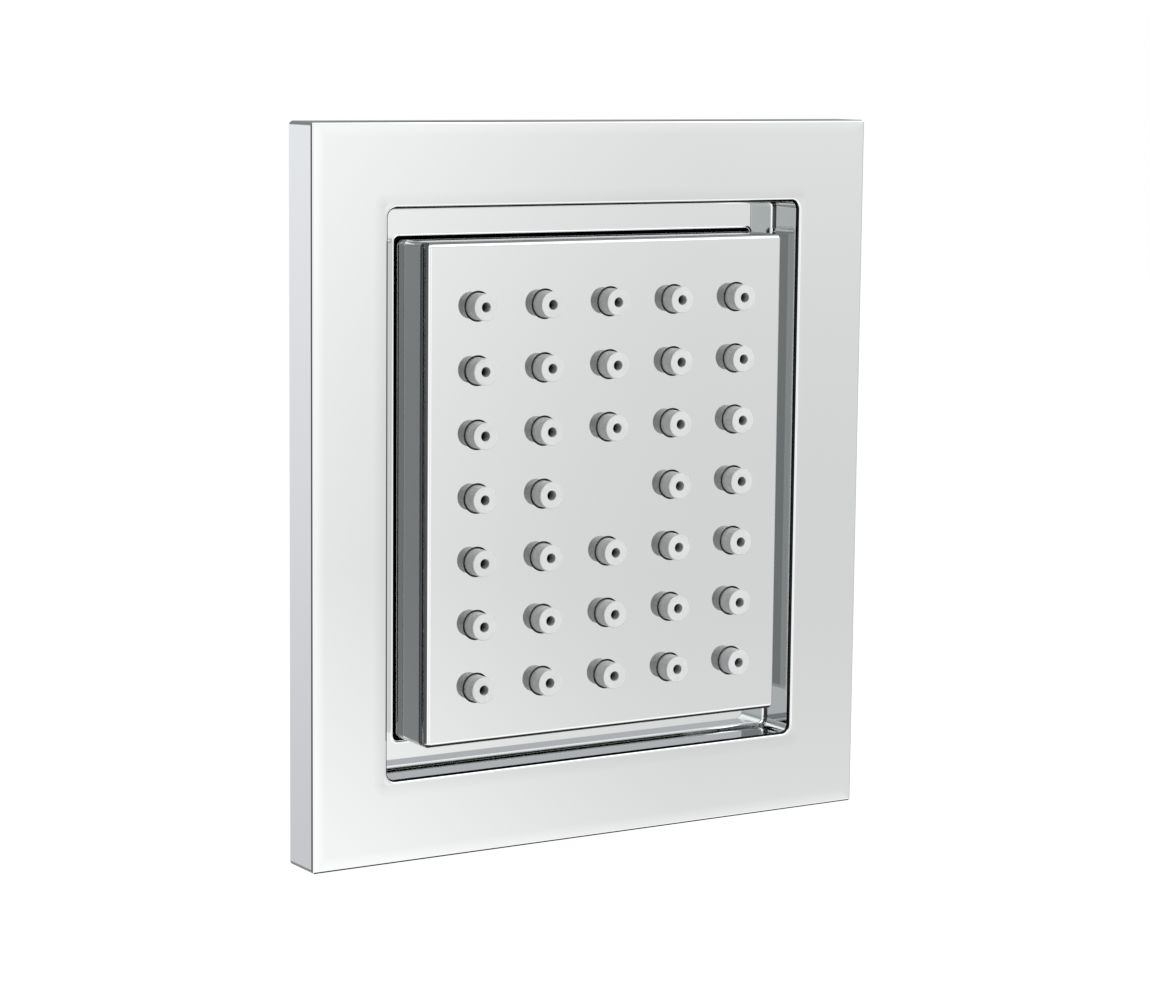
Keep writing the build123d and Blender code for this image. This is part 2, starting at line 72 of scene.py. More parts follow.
# Screens of the studio: where each begins and ends, in degrees of elevation (rise) or azimuth (side)
BACK_BAND_RISE = (-24.0, -14.0, 6.0, 18.0)
BACK_BAND_SIDE = (-124.0, -112.0)
BACK_BAND_GLOW = (-18.0, 2.0)
GAP_RISE = (2.0, 6.0, 16.0, 24.0)
SOFT_BOX_RISE = (18.0, 26.0, 44.0, 52.0)
GREY_CARD_SIDE = (34.1, 80.0)
GREY_CARD_RISE = -9.1
GREY_CARD_FADE = 12.4
GREY_CARD_STRETCH = {"left": 1.3, "over": 2.0, "under": 1.2}
FRONT_PATCH_RISE = -5.0
FRONT_PATCH_FADE = (4.0, 20.0)
DARK_CARD_SIDE = (-118.0, -108.0, -50.0, -32.0)
DARK_CARD_RISE = (-34.0, -24.0)
DARK_CARD_FADE = (-106.0, -94.0)
DARK_FLOOR_FALL = (34.0, 50.0)
DARK_CEILING_RISE = (52.0, 66.0, 66.0, 78.0)

# Other light: the cosine to -Y over which the back turns into the front, levels, floor and lamp
FRONT_FADE = (-0.15, 0.60)
BACK_BAND_LIFT = 0.5
DARK_CARD_LEFT = 0.15
DARK_SHARE = 0.95
FLOOR_GREY = 0.9
FLOOR_GLOW = 1.12
FLOOR_GLOW_SHARE = 0.9
LAMP_PLACE = (0.65, -1.35, 0.45)
LAMP_SIZE = 0.9

# Plate and head, as the CAD has them
RECESS_HALF = (46.4 * MM, 53.9 * MM)
RIM_RADIUS = 0.8 * MM
PLATE_EDGE = 0.5 * MM
SLIT_HALF = (40.7 * MM, 48.35 * MM)
SLIT_CORNER = 1.05 * MM
HEAD_FRONT = -12.35 * MM

# Painted shade, painted dark reflection lines and polish of the chrome: depths along Y, and distances outward
# from the recess for its walls
WALL_START = (-0.5 * MM, -0.2 * MM)
WALL_END = (3.0 * MM, 4.0 * MM)
# Depths over which the recess walls get painted shade
WALL_PAINTED_SHADE = (-8.3 * MM, -7.7 * MM, -1.5 * MM, -0.9 * MM)
# Depths of the painted dark reflection line just inside the rim
RIM_LINE = (-8.90 * MM, -8.83 * MM, -8.4 * MM, -8.1 * MM)
RIM_ROLL = 1.8
EDGE_ROLL = 1.2
LIP_WIDTH = 0.6 * MM
LIP_RISE = 0.16 * MM
# Depths of the painted dark reflection line behind the head's front edge; the top side behind its start gets
# painted shade
HEAD_LINE = (-11.35 * MM, -11.15 * MM, -9.9 * MM, -9.65 * MM)
CROWN_EDGE = (47.45 * MM, 47.65 * MM)
CROWN_DEPTH = 5.5 * MM
CROWN_SLOPE = 0.035
CROWN_LINE = 0.5
SKIRT_DEPTHS = (-3.6 * MM, -0.4 * MM)

# Lathe rings of turned metal, across a face and along the depth, in radians per metre
FACE_RINGS = 26000.0
DEPTH_RINGS = 21000.0

# Nozzle mat, as the CAD has it
NOZZLE_COLUMNS = 5
NOZZLE_ROWS = 7
NOZZLE_PITCH = (14.65 * MM, 12.1 * MM)
NOZZLE_SHIFT = -0.65 * MM
NOZZLE_RADIUS = 2.55 * MM
OUTLET_RADIUS = 0.95 * MM
OUTLET_LENGTH = 2.2 * MM
FEED_RADIUS = 1.6 * MM
MAT_THICKNESS = 1.5 * MM
MAT_CORNER = 1.25 * MM
# How far behind the head's front the silicone starts to get painted shade
PAINTED_SHADE_DEPTH = 0.2 * MM
BOSS_HOLE = 2.7 * MM
BOSS_COLUMNS = (-1.5, 1.5)
BOSS_ROWS = (-2.5, -0.5, 0.5, 2.5)
BLANK_FRONT_ROWS = 6
BORE_ROWS = 4

# Steps of the nipple's turned surface
LOCK_STEPS = 120
INLET_STEPS = 130
NIPPLE_STEPS = 96

# Colours of the light, the chrome's painted shade, and its painted dark reflection lines
WHITE = (1.0, 1.0, 1.0, 1.0)
COOL = (0.955, 0.965, 1.0, 1.0)
# Painted shade on the chrome, bluish like its dark reflections
PAINTED_SHADE_CHROME = (0.406, 0.424, 0.430, 1.0)
# Painted dark reflection lines on the chrome
PAINTED_DARK_REFLECTION = (0.05, 0.055, 0.06, 1.0)


class Wire:
    """A value in a node tree. Arithmetic on it adds Math nodes, and add() puts in any other node."""

    def __init__(self, tree, socket=None):
        self.tree = tree
        self.socket = socket

    def add(self, kind, settings=None, inputs=None, output=0):
        """Adds a node of a type, sets its settings first, then gives its sockets values or links."""
        node = self.tree.nodes.new(kind)
        for name, value in (settings or {}).items():
            setattr(node, name, value)
        for key, value in (inputs or {}).items():
            if isinstance(value, Wire):
                self.tree.links.new(value.socket, node.inputs[key])
            elif value is not None:
                node.inputs[key].default_value = value
        return Wire(self.tree, node.outputs[output] if node.outputs else node)

    def outputs(self):
        """All the outputs of the node that this value comes from, by name."""
        return {socket.name: Wire(self.tree, socket) for socket in self.socket.node.outputs}

    def maths(self, operation, first, second=None):
        """Adds one Math node."""
        return self.add("ShaderNodeMath", {"operation": operation}, {0: first, 1: second})

    def __add__(self, other):
        return self.maths("ADD", self, other)

    def __radd__(self, other):
        return self.maths("ADD", other, self)

    def __sub__(self, other):
        return self.maths("SUBTRACT", self, other)

    def __rsub__(self, other):
        return self.maths("SUBTRACT", other, self)

    def __mul__(self, other):
        return self.maths("MULTIPLY", self, other)

    def __rmul__(self, other):
        return self.maths("MULTIPLY", other, self)

    def __truediv__(self, other):
        return self.maths("DIVIDE", self, other)

    def root(self):
        return self.maths("SQRT", self)

    def size(self):
        return self.maths("ABSOLUTE", self)

    def at_most(self, other):
        return self.maths("MINIMUM", self, other)

    def at_least(self, other):
        return self.maths("MAXIMUM", self, other)

    def band(self, low, high):
        """0 below low, 1 above high and a smooth step between."""
        settings = {"interpolation_type": "SMOOTHSTEP"}
        inputs = {"Value": self, "From Min": low, "From Max": high, "To Min": 0.0, "To Max": 1.0}
        return self.add("ShaderNodeMapRange", settings, inputs)

    def within(self, start, full, fall, end):
        """0 outside start to end, 1 from full to fall and smooth steps between."""
        return self.band(start, full) * (1.0 - self.band(fall, end))

    def nearness(self, width):
        """1 where this distance is 0 or less, 0 where it is width or more, and straight between."""
        return (1.0 - self / width).at_most(1.0).at_least(0.0)

    def beyond(self, other):
        """Distance from a corner, for two distances past the edges that meet there."""
        first, second = self.at_least(0.0), other.at_least(0.0)
        return (first * first + second * second).root()

    def between(self, first, second):
        """Blends two colours by this value."""
        inputs = {0: self, 6: first, 7: second}
        return self.add("ShaderNodeMix", {"data_type": "RGBA", "blend_type": "MIX"}, inputs, 2)


def grey(level):
    """A neutral colour."""
    return (level, level, level, 1.0)


def shade(colour, factor):
    """A colour made lighter or darker."""
    return tuple(min(1.0, part * factor) for part in colour[:3]) + (1.0,)


class Finish:
    """A material with one Principled shader, and the wires that detail is drawn with."""

    def __init__(self, name, constants):
        self.material = bpy.data.materials.new(name)
        self.material.use_nodes = True
        tree = self.material.node_tree
        tree.nodes.clear()
        self.start = Wire(tree)
        self.shader = tree.nodes.new("ShaderNodeBsdfPrincipled")
        output = tree.nodes.new("ShaderNodeOutputMaterial")
        tree.links.new(self.shader.outputs[0], output.inputs["Surface"])
        for socket, value in constants.items():
            self.shader.inputs[socket].default_value = value
        self.place = self.start.add("ShaderNodeTexCoord", output=3)

    def axes(self):
        """The x, y and z of the object's own coordinates."""
        return self.start.add("ShaderNodeSeparateXYZ", None, {0: self.place}).outputs().values()

    def noise(self, scale, detail=2.0, roughness=0.5, place=None):
        """Smooth random value in 0 to 1 over the object's own coordinates."""
        inputs = {"Vector": place or self.place, "Scale": scale, "Detail": detail, "Roughness": roughness}
        return self.start.add("ShaderNodeTexNoise", None, inputs)

    def stretch(self, factors):
        """The object's own coordinates, scaled along each axis."""
        return self.start.add("ShaderNodeMapping", None, {"Vector": self.place, "Scale": factors})

    def give(self, socket, wire):
        """Links a wire to one of the shader's sockets."""
        self.start.tree.links.new(wire.socket, self.shader.inputs[socket])

    def relief(self, height, depth, strength=1.0):
        """Turns a height into bumps, where a height of 1 stands depth metres high."""
        inputs = {"Strength": strength, "Distance": depth, "Height": height}
        self.give("Normal", self.start.add("ShaderNodeBump", None, inputs))


def dress(finish, *nodes):
    """Gives CAD nodes a finish."""
    for node in nodes:
        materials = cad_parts[node].data.materials
        materials.clear()
        materials.append(finish.material)


def chrome_finish(name, tint):
    """Mirror chrome with faint wiped smears. Gives the finish and the wire of its colour."""
    finish = Finish(name, {"Metallic": 1.0})
    smear = finish.noise(scale=22.0, detail=3.0, roughness=0.55, place=finish.stretch((1.0, 1.0, 2.4)))
    cloud = finish.noise(scale=9.0, detail=1.0)
    finish.give("Roughness", 0.02 + smear.band(0.52, 0.78) * 0.022)
    return finish, cloud.band(0.3, 0.7).between(shade(tint, 0.985), tint)


def plate_finish(name, tint, roll_width, roll_drop):
    """The plate's chrome: painted shade on the recess walls, a painted dark reflection line inside the rim,
    and polished edges.

    The polish falls to the recess rim and to the plate's outer edge, and rises to the slit's lip, each with
    the square of the nearness, which is 1 at that edge and 0 at the roll's or the lip's width from it.
    """
    finish, colour = chrome_finish(name, tint)
    x, y, z = finish.axes()
    wide, high = x.size() - RECESS_HALF[0], z.size() - RECESS_HALF[1]
    walls = wide.band(*WALL_START).at_least(high.band(*WALL_START))
    walls = walls * (1.0 - wide.band(*WALL_END)) * (1.0 - high.band(*WALL_END))
    # Painted shade on the recess walls
    colour = (walls * y.within(*WALL_PAINTED_SHADE)).between(colour, PAINTED_SHADE_CHROME)
    # A painted dark reflection line just inside the rim
    finish.give("Base Color", (walls * y.within(*RIM_LINE)).between(colour, PAINTED_DARK_REFLECTION))
    rim = (wide.beyond(high) - RIM_RADIUS).nearness(roll_width)
    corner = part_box("face_plate")[1]
    to_edge = (corner[0] - x.size()).at_most(corner[2] - z.size())
    edge = (to_edge - PLATE_EDGE).nearness(roll_width)
    past_slit = [way.size() - (half - SLIT_CORNER) for way, half in zip((x, z), SLIT_HALF)]
    lip = (past_slit[0].beyond(past_slit[1]) - SLIT_CORNER).nearness(LIP_WIDTH)
    rolls = rim * rim * RIM_ROLL + edge * edge * EDGE_ROLL
    finish.relief(1.0 - rolls + lip * lip * (LIP_RISE / roll_drop), roll_drop)
    return finish


def head_finish(name, tint, flare):
    """The head's chrome: a painted dark reflection line behind the front edge, painted shade on the top side,
    and polish that leans outward.

    The polish rises with the depth: at CROWN_SLOPE over CROWN_DEPTH on the top side, from the front edge,
    and by flare in all down the skirt.
    """
    finish, colour = chrome_finish(name, tint)
    _, y, z = finish.axes()
    top, foot = SKIRT_DEPTHS
    crown = z.band(*CROWN_EDGE)
    lean = crown * (y - HEAD_LINE[0]).at_least(0.0).at_most(CROWN_DEPTH) * (CROWN_SLOPE / flare)
    finish.relief(((y - top) / (foot - top)).at_least(0.0) + lean, flare)
    # Painted shade on the top side behind the front edge
    colour = (crown * y.band(*HEAD_LINE[:2])).between(colour, PAINTED_SHADE_CHROME)
    # A painted dark reflection line behind the front edge, fainter on the top side
    line = y.within(*HEAD_LINE) * (1.0 - crown * CROWN_LINE)
    finish.give("Base Color", line.between(colour, PAINTED_DARK_REFLECTION))
    return finish


def silicone_finish(name, tint):
    """Satin silicone: soft mottling and a fine skin, with painted shade in the bores and behind the head's
    front.
    """
    finish = Finish(name, {"Specular IOR Level": 0.45})
    cloud = finish.noise(scale=260.0)
    skin = finish.noise(scale=5200.0)
    _, y, _ = finish.axes()
    bore = finish.start.add("ShaderNodeAttribute", {"attribute_name": "bore"}, output=2)
    # Painted shade: dark down the bores and behind the head's front
    deep = bore.at_least(y.band(HEAD_FRONT, HEAD_FRONT + PAINTED_SHADE_DEPTH))
    colour = cloud.band(0.3, 0.7).between(shade(tint, 0.94), tint)
    finish.give("Base Color", deep.between(colour, shade(tint, 0.22)))
    finish.give("Roughness", 0.42 + cloud * 0.12)
    finish.relief(skin, 0.02 * MM, strength=0.35)
    return finish


def rubber_finish(name, tint):
    """Matte black rubber with a fine grain and paler rub marks."""
    finish = Finish(name, {"Specular IOR Level": 0.35})
    grain = finish.noise(scale=3400.0, detail=3.0)
    rub = finish.noise(scale=90.0, detail=4.0, roughness=0.6)
    finish.give("Base Color", rub.band(0.5, 0.8).between(tint, shade(tint, 1.9)))
    finish.give("Roughness", 0.62 + rub * 0.2)
    finish.relief(grain, 0.03 * MM, strength=0.5)
    return finish


def moulded_finish(name, tint, gloss, grain_depth):
    """Moulded plastic: spark-eroded grain, flow clouds and slightly uneven gloss."""
    finish = Finish(name, {"Specular IOR Level": 0.5})
    inputs = {"Vector": finish.place, "Scale": 1500.0, "Randomness": 1.0}
    cells = finish.start.add("ShaderNodeTexVoronoi", {"feature": "SMOOTH_F1"}, inputs)
    cloud = finish.noise(scale=38.0, detail=3.0, roughness=0.55)
    finish.give("Base Color", cloud.band(0.3, 0.75).between(shade(tint, 0.86), shade(tint, 1.1)))
    finish.give("Roughness", gloss + cloud * 0.14)
    finish.relief(cells, grain_depth, strength=0.6)
    return finish


def turned_finish(name, tint, gloss):
    """Metal turned on a lathe about the jet's axis: fine rings along the depth and across the faces."""
    finish = Finish(name, {"Metallic": 1.0})
    x, y, z = finish.axes()
    radius = (x * x + z * z).root()
    rings = finish.start.maths("SINE", radius * FACE_RINGS + y * DEPTH_RINGS)
    drift = finish.noise(scale=160.0, detail=3.0, roughness=0.6)
    stain = finish.noise(scale=45.0, detail=3.0)
    finish.give("Base Color", stain.band(0.35, 0.75).between(tint, shade(tint, 0.8)))
    finish.give("Roughness", gloss + drift * 0.14)
    finish.relief(rings * 0.5 + drift, 0.01 * MM, strength=0.35)
    return finish


def make_piece(context, name, points, faces, finish, body, node, slot, **marks):
    """Welds points that meet, turns the faces outward and lets the piece stand for a CAD node on its body.

    marks are values for the points, kept as attributes of their names.
    """
    mesh = bpy.data.meshes.new(name)
    mesh.from_pydata(points.tolist(), [], faces.tolist())
    for mark, values in marks.items():
        mesh.attributes.new(mark, "FLOAT", "POINT").data.foreach_set("value", values)
    work = bmesh.new()
    work.from_mesh(mesh)
    bmesh.ops.remove_doubles(work, verts=work.verts, dist=WELD)
    bmesh.ops.recalc_face_normals(work, faces=work.faces)
    work.to_mesh(mesh)
    work.free()
    mesh.shade_smooth()
    mesh.set_sharp_from_angle(angle=math.radians(SHARP_ANGLE))
    mesh.materials.append(finish.material)
    piece = bpy.data.objects.new(name, mesh)
    context.scene.collection.objects.link(piece)
    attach(piece, body)
    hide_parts(node)


def grid_faces(rows, columns):
    """Quads of a grid of rows by columns whose last column meets the first."""
    row, column = np.meshgrid(np.arange(rows - 1), np.arange(columns), indexing="ij")
    near, far = row * columns, (row + 1) * columns
    after = (column + 1) % columns
    return np.stack([near + column, near + after, far + after, far + column], axis=-1).reshape(-1, 4)


def edge_steps(lengths):
    """Sixteen places along each edge: quarter steps over a hole's radius at both ends, even steps between."""
    lengths = lengths[:, None]
    quarter = np.broadcast_to(BOSS_HOLE * np.arange(4) / 4, (len(lengths), 4))
    middle = BOSS_HOLE + (lengths - 2 * BOSS_HOLE) * np.linspace(0.0, 1.0, 9)
    return np.hstack([quarter, middle, lengths - quarter[:, :0:-1]])


def cell_outlines(centres, half):
    """Outline of each nozzle's cell of the mat, as an array of cells by 64 points by (x, z).

    A cell is the rectangle half way to its neighbours, or out to the mat's edge. A corner that lies on a
    screw boss is bitten off by the boss hole's circle, and the mat's own corners are rounded. Also gives
    which points are on a bite and which on the mat's edge.
    """
    pitch = np.array(NOZZLE_PITCH)
    shift = np.array([0.0, NOZZLE_SHIFT])
    ends = np.array([(NOZZLE_COLUMNS - 1) / 2, (NOZZLE_ROWS - 1) / 2]) * pitch
    low = np.where(centres - shift < -ends + WELD, -half, centres - pitch / 2)
    high = np.where(centres - shift > ends - WELD, half, centres + pitch / 2)
    across, along = (edge_steps(side) for side in (high - low).T)
    flat, tall = np.ones_like(across), np.ones_like(along)
    left, bottom, right, top = low[:, :1], low[:, 1:], high[:, :1], high[:, 1:]
    x = np.hstack([left + across, right * tall, right - across, left * tall])
    z = np.hstack([bottom * flat, bottom + along, top * flat, top - along])
    outline = np.stack([x, z], axis=-1)
    bosses = np.array([(column, row) for column in BOSS_COLUMNS for row in BOSS_ROWS]) * pitch + shift
    nearest = np.argmin(np.linalg.norm(outline[:, :, None] - bosses, axis=-1), axis=-1)
    boss = bosses[nearest]
    offset = np.abs(outline - boss)
    angle = math.pi / 4 * (1.0 + (offset[..., 1] - offset[..., 0]) / BOSS_HOLE)
    inward = np.sign(centres[:, None] - boss)
    arc = boss + BOSS_HOLE * inward * np.stack([np.cos(angle), np.sin(angle)], axis=-1)
    bitten = np.linalg.norm(offset, axis=-1) < BOSS_HOLE + WELD
    outline = np.where(bitten[..., None], arc, outline)
    over = np.abs(outline) - (half - MAT_CORNER)
    length = np.maximum(np.linalg.norm(over, axis=-1, keepdims=True), WELD)
    rounded = np.sign(outline) * (half - MAT_CORNER + MAT_CORNER * over / length)
    corner = (over > 0.0).all(axis=-1)
    outline = np.where(corner[..., None], rounded, outline)
    edge = corner | (np.abs(np.abs(outline) - half) < WELD).any(axis=-1)
    return outline, bitten, edge


def nozzle_profile(front, inside, back, rim):
    """Radius and depth along a nozzle: from the mat's front, over the rounded tip, down the stepped bore."""
    turn = np.linspace(0.0, math.pi / 2, 5)
    lip = rim / 2
    fine = rim / 4
    throat = front + OUTLET_LENGTH
    before = [(NOZZLE_RADIUS, inside), (NOZZLE_RADIUS, front + rim + fine)]
    tip = np.stack([NOZZLE_RADIUS - rim + rim * np.cos(turn), front + rim - rim * np.sin(turn)], axis=-1)
    face = [(NOZZLE_RADIUS - rim - fine, front), (OUTLET_RADIUS + lip + fine, front)]
    mouth = np.stack([OUTLET_RADIUS + lip - lip * np.sin(turn), front + lip - lip * np.cos(turn)], axis=-1)
    outlet = [(OUTLET_RADIUS, front + lip + fine), (OUTLET_RADIUS, throat)]
    feed = [(FEED_RADIUS, throat), (FEED_RADIUS, back)]
    return np.concatenate([before, tip, face, mouth, outlet, feed])


def nozzle_surface(rim):
    """Points and quads of the mat and its nozzles, and which points lie down a bore, where the silicone gets
    painted shade.

    Each cell is a grid of 64 rays: from the cell's outline over the mat's front to the nozzle's foot, along
    the nozzle's turned profile, and over the mat's back to the outline again. The cell in the middle has no
    nozzle, so its rays run to a point. Walls join front to back along the mat's edge and the boss holes.
    """
    low, high = (np.array(corner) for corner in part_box("nozzle_mat"))
    front, back = low[1], high[1]
    inside = back - MAT_THICKNESS
    across = np.arange(NOZZLE_COLUMNS) - (NOZZLE_COLUMNS - 1) / 2
    upward = np.arange(NOZZLE_ROWS) - (NOZZLE_ROWS - 1) / 2
    steps = np.stack(np.meshgrid(across, upward), axis=-1).reshape(-1, 2)
    centres = steps * NOZZLE_PITCH + np.array([0.0, NOZZLE_SHIFT])
    outline, bitten, edge = cell_outlines(centres, high[[0, 2]])
    ray = outline - centres[:, None]
    ray = ray / np.linalg.norm(ray, axis=-1, keepdims=True)
    profile = nozzle_profile(front, inside, back, rim)
    level = np.where(np.arange(len(profile)) < BLANK_FRONT_ROWS, inside, back)
    blank = np.stack([np.zeros(len(profile)), level], axis=-1)
    empty = (steps == 0.0).all(axis=-1)
    turned = np.where(empty[:, None, None], blank, profile)
    flat = centres[:, None, None] + ray[:, None] * turned[:, :, None, :1]
    depth = np.broadcast_to(turned[:, :, None, 1:], flat.shape[:3] + (1,))
    tube = np.concatenate([flat[..., :1], depth, flat[..., 1:]], axis=-1)
    sheets = [np.insert(outline, 1, level, axis=-1)[:, None] for level in (inside, back)]
    points = np.concatenate([sheets[0], tube, sheets[1]], axis=1)
    cells, rows, columns = points.shape[:3]
    start = np.arange(cells)[:, None, None] * rows * columns
    faces = (grid_faces(rows, columns) + start).reshape(-1, 4)
    after = np.roll(np.arange(columns), -1)
    walled = (bitten & bitten[:, after]) | (edge & edge[:, after])
    cell, column = np.nonzero(walled)
    near, far = cell * rows * columns + column, cell * rows * columns + after[column]
    last = (rows - 1) * columns
    walls = np.stack([near, far, far + last, near + last], axis=-1)
    # Points down a bore, where the silicone gets painted shade
    bore = np.arange(rows) >= rows - BORE_ROWS
    bore = np.broadcast_to(bore[:, None], (cells, rows, columns)).astype(np.float32)
    return points.reshape(-1, 3), np.concatenate([faces, walls]), bore.ravel()


def thread_radius(angle, depth, radius, pitch, height):
    """Radius of a screw thread: a helix of flats and flanks, its crest at radius, its root height below."""
    flank_start, flank_share = 0.85, 0.7
    wave = np.abs(2.0 * ((depth / pitch - angle / (2 * math.pi)) % 1.0) - 1.0)
    return radius - height * np.clip((flank_start - wave) / flank_share, 0.0, 1.0)


def nipple_surface(detail):
    """Points and quads of the inlet nipple: one closed profile turned about the jet's axis, with cut threads.

    Radii and depths are in millimetres, as the CAD has them, until the profile is scaled.
    """
    low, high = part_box("inlet_nipple")
    front, end = low[1] / MM, high[1] / MM
    flange, lock, inlet, relief, bore, throat, socket, seat = 16.28, 11.28, 10.48, 9.78, 7.48, 3.5, 5.1, 6.8
    shoulder, lock_end, inlet_start, inlet_end = front + 4.0, front + 16.8, front + 17.8, end - 1.0
    seat_floor, socket_floor, bore_floor = front + 1.6, front + 8.6, front + 12.0
    chamfer = 0.3
    lock_depths = np.linspace(shoulder, lock_end, LOCK_STEPS)
    inlet_depths = np.linspace(inlet_start, end, INLET_STEPS)
    before = [(seat, front), (flange - chamfer, front), (flange, front + chamfer),
              (flange, shoulder - chamfer), (flange - chamfer, shoulder)]
    lock_part = np.stack([np.full(LOCK_STEPS, lock), lock_depths], axis=-1)
    between = [(relief, lock_end), (relief, inlet_start)]
    inlet_part = np.stack([np.minimum(inlet, inlet + inlet_end - inlet_depths), inlet_depths], axis=-1)
    after = [(bore + chamfer, end), (bore, end - chamfer), (bore, bore_floor),
             (throat, bore_floor), (throat, socket_floor), (socket, socket_floor),
             (socket, seat_floor), (seat, seat_floor), (seat, front)]
    profile = np.concatenate([before, lock_part, between, inlet_part, after]) * MM
    lock_first = len(before)
    inlet_first = lock_first + LOCK_STEPS + len(between)
    lock_rows = slice(lock_first, lock_first + LOCK_STEPS)
    inlet_rows = slice(inlet_first, inlet_first + INLET_STEPS)
    angle = np.linspace(0.0, 2 * math.pi, NIPPLE_STEPS, endpoint=False)
    radius, depth = (np.repeat(part[:, None], NIPPLE_STEPS, axis=1) for part in profile.T)
    threads = ((lock_rows, lock, detail.lock_pitch, detail.lock_height),
               (inlet_rows, inlet, detail.inlet_pitch, detail.inlet_height))
    for rows, crest, pitch, height in threads:
        cut = thread_radius(angle, depth[rows], crest * MM, pitch, height)
        radius[rows] = np.minimum(radius[rows], cut)
    points = np.stack([radius * np.cos(angle), depth, radius * np.sin(angle)], axis=-1)
    return points.reshape(-1, 3), grid_faces(len(profile), NIPPLE_STEPS)


def lay_floor(studio):
    """A square sheet below the jet, white to the eye, that keeps a soft shadow."""
    half = studio.floor_size / 2
    corners = np.array([(-1, -1), (1, -1), (1, 1), (-1, 1)], float) * half
    points = np.column_stack([corners, np.full(4, -studio.floor_drop)])
    mesh = bpy.data.meshes.new("studio_floor")
    mesh.from_pydata(points.tolist(), [], [(0, 1, 2, 3)])
    floor = bpy.data.objects.new("studio_floor", mesh)
    bpy.context.scene.collection.objects.link(floor)
    floor.visible_glossy = False
    material = bpy.data.materials.new("floor_paper")
    material.use_nodes = True
    tree = material.node_tree
    tree.nodes.clear()
    start = Wire(tree)
    paper = start.add("ShaderNodeBsdfDiffuse", None, {"Color": grey(FLOOR_GREY)})
    glow = start.add("ShaderNodeEmission", None, {"Color": grey(1.0), "Strength": FLOOR_GLOW})
    eye = start.add("ShaderNodeLightPath").outputs()["Is Camera Ray"]
    mixed = start.add("ShaderNodeMixShader", None, {0: eye * FLOOR_GLOW_SHARE, 1: paper, 2: glow})
    start.add("ShaderNodeOutputMaterial", None, {"Surface": mixed})
    mesh.materials.append(material)


def screen_level(studio, side, rise, front, gap):
    """Level of the screens all round, from the direction's azimuth and elevation in degrees.

    The front is white and the back dim. Laid over them in turn are a low band behind to the left, the gap
    above the screens, the soft box above the gap, the grey card to the right, the patch where the camera
    stands and the dark card to the left.
    """
    level = studio.dim + front * (studio.white - studio.dim)
    band = rise.within(*BACK_BAND_RISE) * (1.0 - side.band(*BACK_BAND_SIDE))
    level = level + band * (studio.back_band + rise.band(*BACK_BAND_GLOW) * BACK_BAND_LIFT - level)
    level = level + gap * (studio.gap - level)
    level = level + rise.within(*SOFT_BOX_RISE) * front * (studio.soft_box - level)
    left, right = (GREY_CARD_SIDE[0] - side).at_least(0.0), (side - GREY_CARD_SIDE[1]).at_least(0.0)
    over, under = (rise - GREY_CARD_RISE).at_least(0.0), (GREY_CARD_RISE - rise).at_least(0.0)
    across = left / GREY_CARD_STRETCH["left"] + right
    away = over / GREY_CARD_STRETCH["over"] + under / GREY_CARD_STRETCH["under"]
    off = (across * across + away * away + across * away).root()
    level = level + (1.0 - off.band(0.0, GREY_CARD_FADE)) * (studio.grey_card - level)
    lift = rise - FRONT_PATCH_RISE
    ahead = (side * side + lift * lift).root()
    level = level + (1.0 - ahead.band(*FRONT_PATCH_FADE)) * (studio.front_patch - level)
    card = side.within(*DARK_CARD_SIDE) * rise.band(*DARK_CARD_RISE)
    fade = DARK_CARD_LEFT + side.band(*DARK_CARD_FADE) * (1.0 - DARK_CARD_LEFT)
    return level + card * (studio.dark_card * fade - level)


def light_studio(scene, studio):
    """Screens all round, by the direction's azimuth (0 along -Y, 90 along +X) and elevation in degrees.

    The eye sees plain white. Mirrors see the screens, with the room dark far below and in a ring high above.
    Matt surfaces get the screens at a plain level. The back and the gap are bluish.
    """
    world = bpy.data.worlds.new("studio_light")
    world.use_nodes = True
    tree = world.node_tree
    tree.nodes.clear()
    start = Wire(tree)
    way = start.add("ShaderNodeTexCoord", output=0)
    x, y, z = start.add("ShaderNodeSeparateXYZ", None, {0: way}).outputs().values()
    side = start.maths("ARCTAN2", x, y * -1.0) * DEGREES
    rise = start.maths("ARCSINE", z) * DEGREES
    front = (y * -1.0).band(*FRONT_FADE)
    gap = rise.within(*GAP_RISE) * front
    level = screen_level(studio, side, rise, front, gap)
    path = start.add("ShaderNodeLightPath").outputs()
    eye = path["Is Camera Ray"]
    mirror = path["Is Glossy Ray"].at_least(path["Is Transmission Ray"])
    dark = (rise * -1.0).band(*DARK_FLOOR_FALL).at_least(rise.within(*DARK_CEILING_RISE))
    plain = studio.matt_share + mirror * (1.0 - studio.matt_share - dark * DARK_SHARE)
    strength = eye + (1.0 - eye) * level * plain
    tint = (front * (1.0 - gap)).between(COOL, WHITE)
    colour = eye.between(tint, WHITE)
    sky = start.add("ShaderNodeBackground", None, {"Color": colour, "Strength": strength})
    start.add("ShaderNodeOutputWorld", None, {"Surface": sky})
    scene.world = world


def hang_lamp(scene, studio):
    """A soft lamp in front, to the right, that lights matt surfaces and stays out of the mirrors."""
    light = bpy.data.lights.new("front_lamp", "AREA")
    light.size = LAMP_SIZE
    light.energy = studio.lamp
    lamp = bpy.data.objects.new("front_lamp", light)
    turn = Vector(LAMP_PLACE).to_track_quat("Z", "Y").to_matrix().to_4x4()
    lamp.matrix_world = Matrix.Translation(LAMP_PLACE) @ turn
    lamp.visible_glossy = False
    scene.collection.objects.link(lamp)


